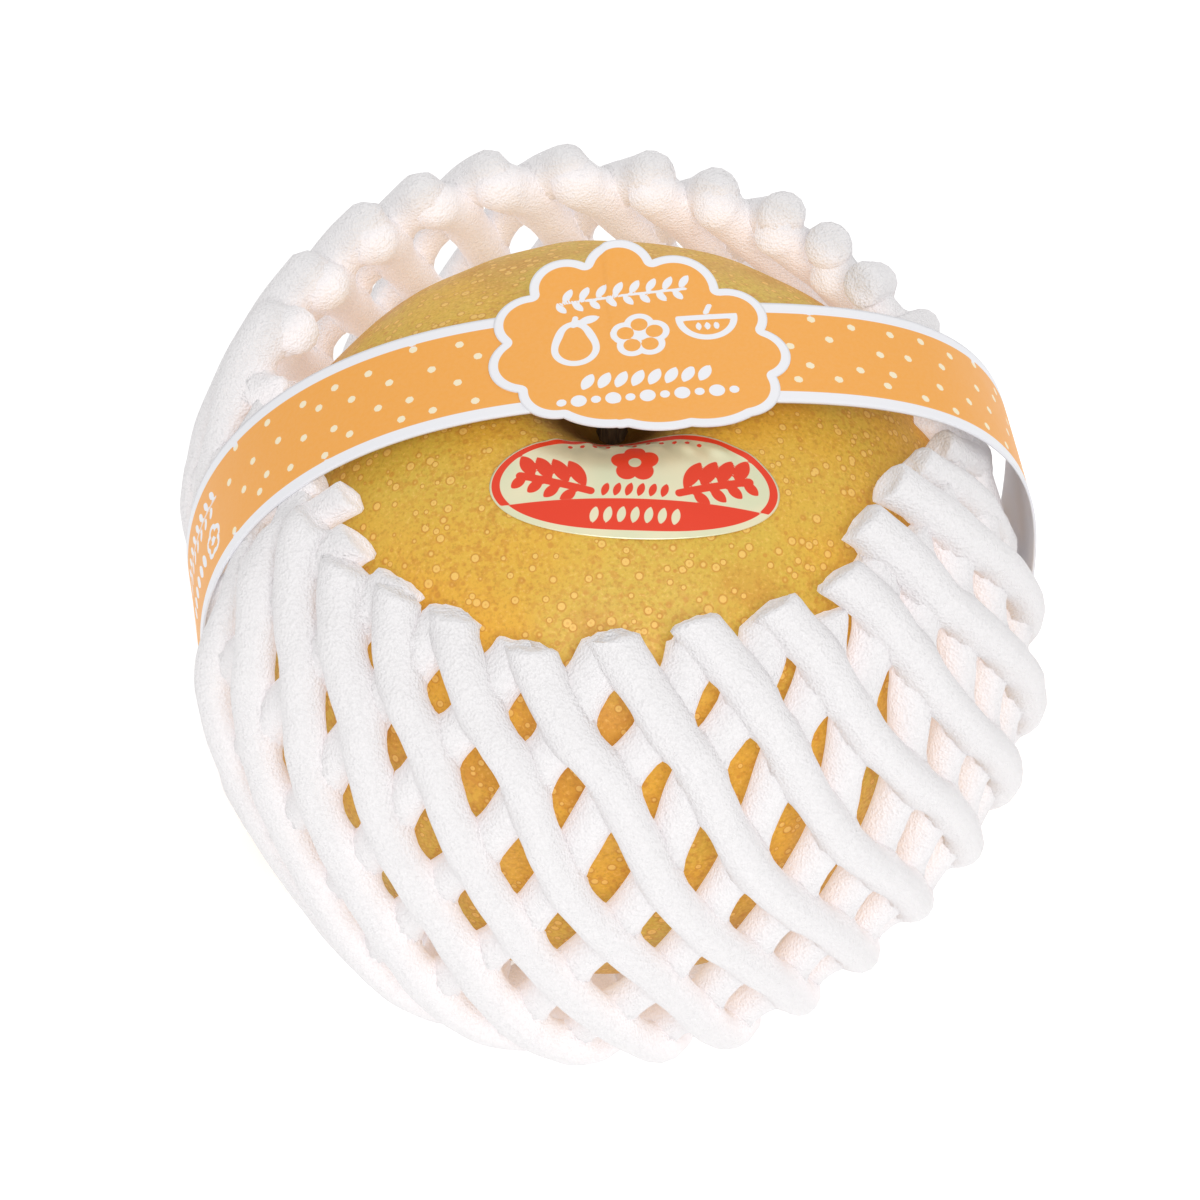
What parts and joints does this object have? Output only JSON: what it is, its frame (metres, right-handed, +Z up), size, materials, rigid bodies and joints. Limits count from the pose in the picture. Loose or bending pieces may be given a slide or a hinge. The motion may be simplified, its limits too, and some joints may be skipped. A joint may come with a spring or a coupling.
{
  "type": "asian pear in a foam fruit net",
  "caption": "Round Asian pear in a white foam fruit net, with a paper belly band widening to a scalloped badge and an oval foil sticker.",
  "frame": {"origin": "the surface the part rests on, under the middle of the object", "axes": "+Z up along the fruit's own axis through its stem cavity, -Y towards the side the oval sticker is on, +X to the right seen from there, roughly along the paper band's run over the top"},
  "size_m": [0.112, 0.1113, 0.0908],
  "materials": {
    "pear_skin": "waxy ochre-gold fruit skin with fine russet grain and pale pores",
    "stem_wood": "dry brown woody stalk with a cut end",
    "white_foam": "soft white expanded polyethylene foam",
    "orange_paper": "smooth printed paper, orange with white borders and small ornaments",
    "gold_foil": "pale gold metallic foil label with red print"
  },
  "bodies": {
    "root": {"pear": "pear_skin", "stem": "stem_wood", "foam_net": "white_foam", "paper_band": "orange_paper", "oval_sticker": "gold_foil"}
  },
  "joints": []
}
